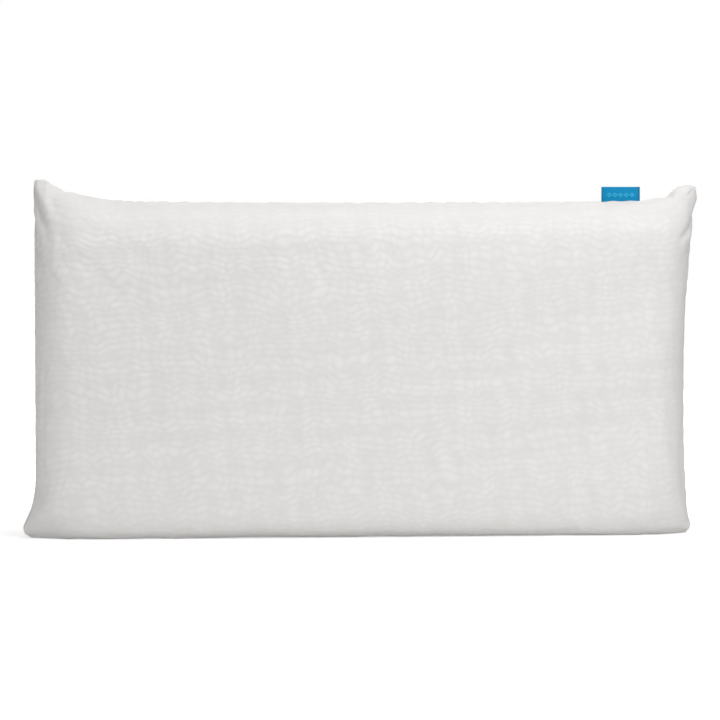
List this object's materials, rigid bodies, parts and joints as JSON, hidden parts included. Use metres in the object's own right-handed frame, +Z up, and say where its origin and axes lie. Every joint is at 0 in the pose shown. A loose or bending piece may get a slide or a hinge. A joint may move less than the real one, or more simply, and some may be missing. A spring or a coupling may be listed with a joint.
{
  "type": "bed pillow",
  "caption": "Foam bed pillow in a zipped knit cover with drawn-out corners, a folded ribbon label in the top seam and a side zip whose slider and pull tab move.",
  "frame": {"origin": "middle of the long edge that the pillow stands on, at the lowest point", "axes": "+X along the pillow's length, away from the zip; +Y out of the back face; +Z up the pillow's height"},
  "size_m": [0.775, 0.13, 0.4107],
  "materials": {
    "cover_knit": "matte",
    "liner_jersey": "matte",
    "foam": "matte",
    "white_thread": "matte",
    "zip_tape": "matte",
    "zip_nylon": "satin",
    "zip_metal": "satin",
    "label_ribbon": "satin",
    "care_satin": "satin"
  },
  "bodies": {
    "cushion": {"foam_core": "foam", "liner_front": "liner_jersey", "liner_back": "liner_jersey", "cover_front": "cover_knit", "cover_back": "cover_knit", "overlock_top": "white_thread", "overlock_right": "white_thread", "overlock_bottom": "white_thread", "zip_tape_front": "zip_tape", "zip_tape_back": "zip_tape", "zip_coil_front": "zip_nylon", "zip_coil_back": "zip_nylon", "zip_top_stop_front": "zip_metal", "zip_top_stop_back": "zip_metal", "zip_bottom_stop": "zip_metal", "zip_topstitch_front": "white_thread", "zip_topstitch_back": "white_thread", "bar_tack_top": "white_thread", "bar_tack_bottom": "white_thread", "brand_label": "label_ribbon", "care_label": "care_satin"},
    "slider": {"zip_slider": "zip_metal"},
    "pull": {"zip_pull": "zip_metal"}
  },
  "joints": [
    {"name": "zip_slide", "type": "slide", "parent": "cushion", "child": "slider", "axis": [0, 0, -1], "range_m": [0, 0.255]},
    {"name": "pull_swing", "type": "hinge", "parent": "slider", "child": "pull", "pos_m": [-0.3729, 0, 0.3352], "axis": [0, 1, 0], "range_deg": [0, 160]}
  ]
}
